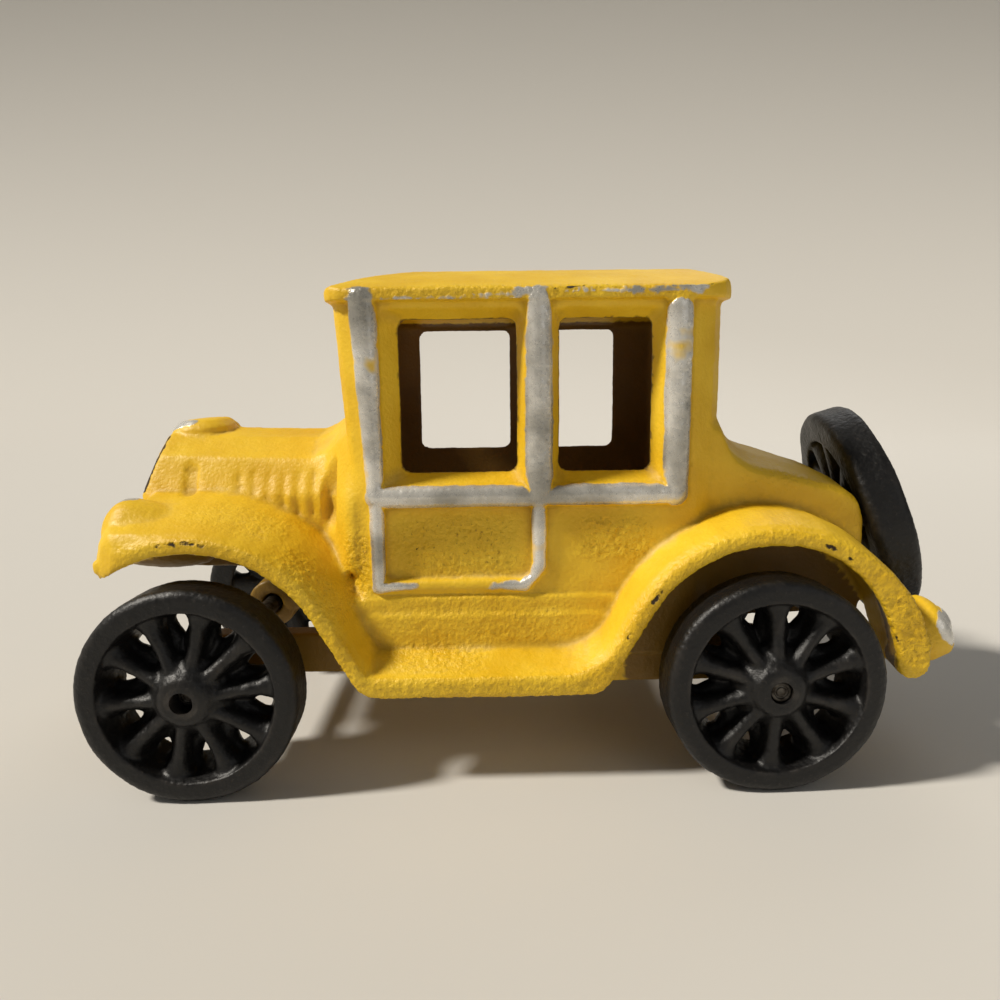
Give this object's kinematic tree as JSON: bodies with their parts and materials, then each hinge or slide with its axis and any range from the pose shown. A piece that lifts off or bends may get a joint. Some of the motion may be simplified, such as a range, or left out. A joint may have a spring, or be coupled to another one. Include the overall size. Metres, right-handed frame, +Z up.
{
  "type": "toy car",
  "caption": "Cast iron toy coupe of painted body castings screwed together, with open windows, spoked wheels on press-fit axles and a riveted spare wheel at the back.",
  "frame": {"origin": "middle of the object's box in X and Y, on the ground plane that the wheels stand on", "axes": "+X from the radiator to the spare wheel, so the car drives along -X; +Y to the car's right side; +Z up"},
  "size_m": [0.1292, 0.0626, 0.0749],
  "materials": {
    "yellow_enamel": "thick satin enamel over sand-cast iron, with brushed silver paint on the raised beads",
    "black_enamel": "semi-gloss black enamel over cast iron, worn grey on the edges",
    "axle_steel": "plain dark steel rod",
    "fastener_steel": "dull plated steel"
  },
  "bodies": {
    "body": {"left_body_half": "yellow_enamel", "right_body_half": "yellow_enamel", "front_body_screw": "fastener_steel", "rear_body_screw": "fastener_steel", "spare_wheel_rivet": "fastener_steel"},
    "front_wheelset": {"front_axle": "axle_steel", "front_left_wheel": "black_enamel", "front_right_wheel": "black_enamel"},
    "rear_wheelset": {"rear_axle": "axle_steel", "rear_left_wheel": "black_enamel", "rear_right_wheel": "black_enamel"},
    "spare": {"spare_wheel": "black_enamel"}
  },
  "joints": [
    {"name": "front_wheelset_spin", "type": "hinge", "parent": "body", "child": "front_wheelset", "pos_m": [-0.0492, 0, 0.0154], "axis": [0, 1, 0], "continuous": true},
    {"name": "rear_wheelset_spin", "type": "hinge", "parent": "body", "child": "rear_wheelset", "pos_m": [0.0326, 0, 0.0154], "axis": [0, 1, 0], "continuous": true},
    {"name": "spare_wheel_spin", "type": "hinge", "parent": "body", "child": "spare", "pos_m": [0.056, 0, 0.0351], "axis": [0.9418, -0.1156, 0.3156], "continuous": true}
  ]
}
